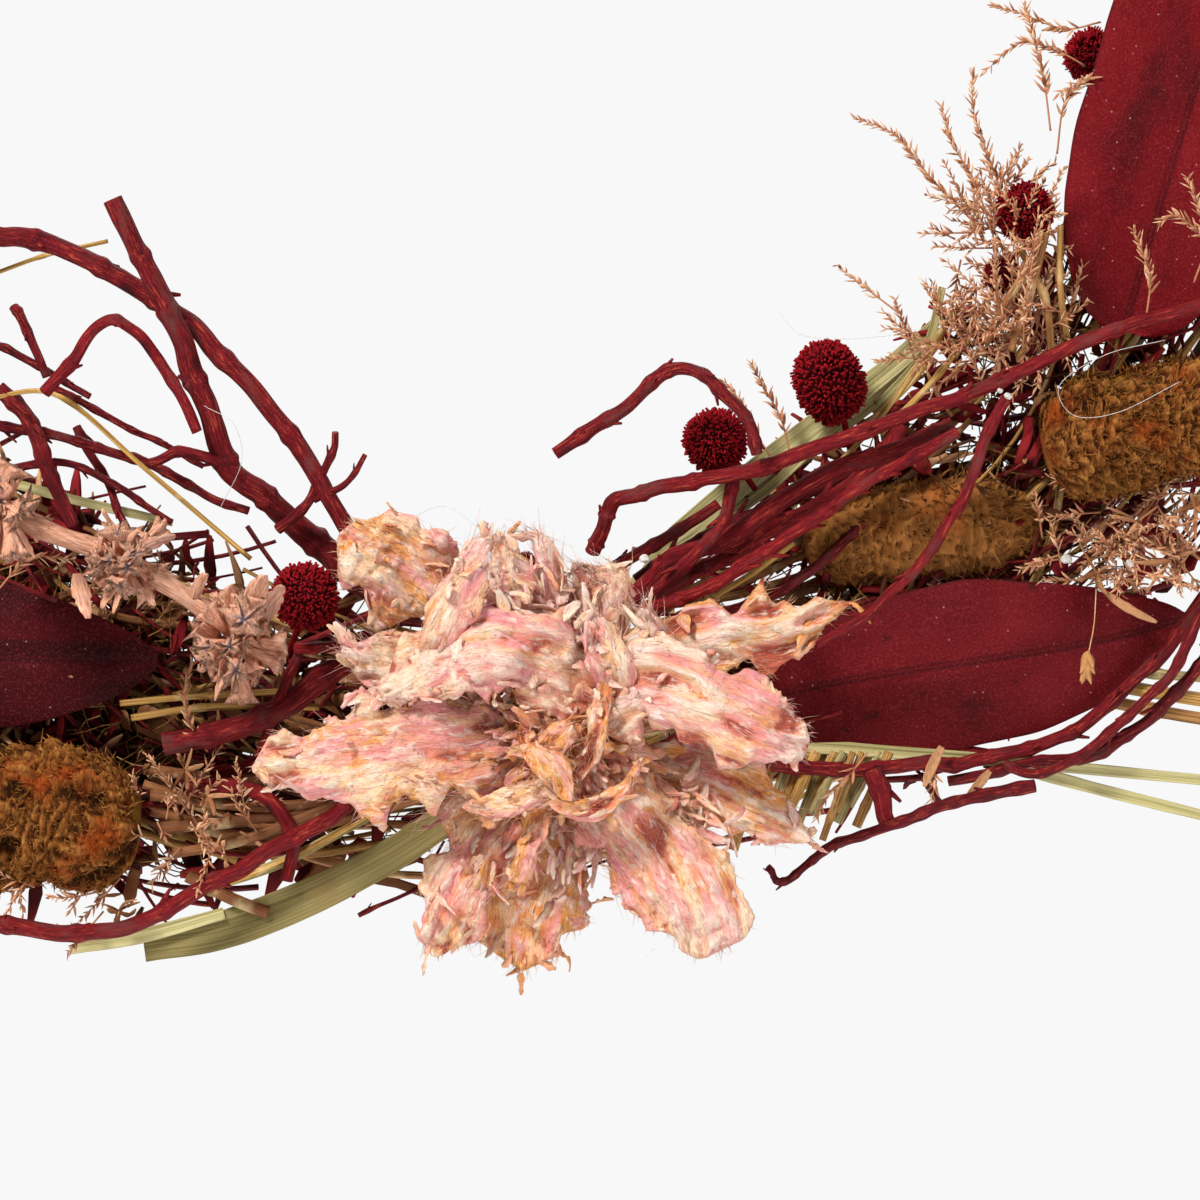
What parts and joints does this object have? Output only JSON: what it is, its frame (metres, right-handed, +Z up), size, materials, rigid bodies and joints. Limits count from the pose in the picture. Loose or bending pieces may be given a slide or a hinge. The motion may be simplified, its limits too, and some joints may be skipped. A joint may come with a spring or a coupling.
{
  "type": "door wreath",
  "caption": "Round dried-flower door wreath on cane hoops, with dyed twigs, long leaves, fibrous cones, ball flowers, a large petalled flower and a wire hanging loop.",
  "frame": {"origin": "top of the inside of the hanging loop's eye, where the door hook bears", "axes": "+Z up, -Y out from the door towards the viewer, +X to the viewer's right; the ring lies in the XZ plane"},
  "size_m": [0.5398, 0.0928, 0.5824],
  "materials": {
    "cane": "dry brown cane",
    "florist_wire": "dull annealed wire",
    "straw": "dry golden straw",
    "dyed_bark": "crimson-dyed bark with buds and scars",
    "burgundy_leaf": "waxed burgundy leaf with a midrib",
    "olive_blade": "dry ribbed strap blade",
    "brown_fibre": "matted brown fibre with golden tips",
    "red_floret": "velvety packed florets",
    "petal": "crumpled cream and pink petal, frayed at its edges",
    "tan_calyx": "ribbed pinkish-tan calyces with grey centres",
    "grass_seed": "dry grass seed"
  },
  "bodies": {
    "wreath": {"ball_flower_egg": "red_floret", "ball_flower_left": "red_floret", "ball_flower_middle": "red_floret", "ball_flower_right": "red_floret", "ball_flower_spiky": "red_floret", "ball_flower_upper_left": "red_floret", "base_hoop_inner": "cane", "base_hoop_outer": "cane", "blade_lower_left": "olive_blade", "blade_right": "olive_blade", "cone_left": "brown_fibre", "cone_middle": "brown_fibre", "cone_right": "brown_fibre", "cone_upper_left": "brown_fibre", "cone_upper_right": "brown_fibre", "flower_core": "petal", "leaf_left": "burgundy_leaf", "leaf_left_top": "burgundy_leaf", "leaf_right": "burgundy_leaf", "leaf_right_top": "burgundy_leaf", "leaf_top": "burgundy_leaf", "leaf_upper_right": "burgundy_leaf", "petal_folded": "petal", "petal_left": "petal", "petal_lower": "petal", "petal_lower_left": "petal", "petal_lower_right": "petal", "petal_right_point": "petal", "petal_right_round": "petal", "petal_top_left": "petal", "petal_upper_left": "petal", "petal_upper_right": "petal", "seed_head": "tan_calyx", "straw_bundle_bottom": "straw", "straw_bundle_left": "straw", "straw_bundle_right": "straw", "straw_bundle_upper_left": "straw", "straw_bundle_upper_right": "straw", "twig_arch": "dyed_bark", "twig_bent": "dyed_bark", "twig_bundle": "dyed_bark", "twig_crossing": "dyed_bark", "twig_curled_tip": "dyed_bark", "twig_forked_down": "dyed_bark", "twig_hook": "dyed_bark", "twig_left_side": "dyed_bark", "twig_long": "dyed_bark", "twig_lower_left": "dyed_bark", "twig_right_side": "dyed_bark", "twig_thick_cut": "dyed_bark", "twig_to_flower": "dyed_bark", "twig_top_left": "dyed_bark", "twig_under_leaf": "dyed_bark", "twig_upper_right": "dyed_bark", "wire_tie_1": "florist_wire", "wire_tie_2": "florist_wire", "wire_tie_3": "florist_wire", "wire_tie_4": "florist_wire"},
    "hanger": {"hanging_loop": "florist_wire"},
    "spikelet": {"dangling_spikelet": "grass_seed"}
  },
  "joints": [
    {"name": "hanger_fold", "type": "hinge", "parent": "wreath", "child": "hanger", "pos_m": [0, 0, -0.035], "axis": [1, 0, 0], "range_deg": [-150, 20]},
    {"name": "spikelet_swing", "type": "hinge", "parent": "wreath", "child": "spikelet", "pos_m": [0.18, -0.047, -0.479], "axis": [0, 1, 0], "range_deg": [-25, 25]}
  ]
}
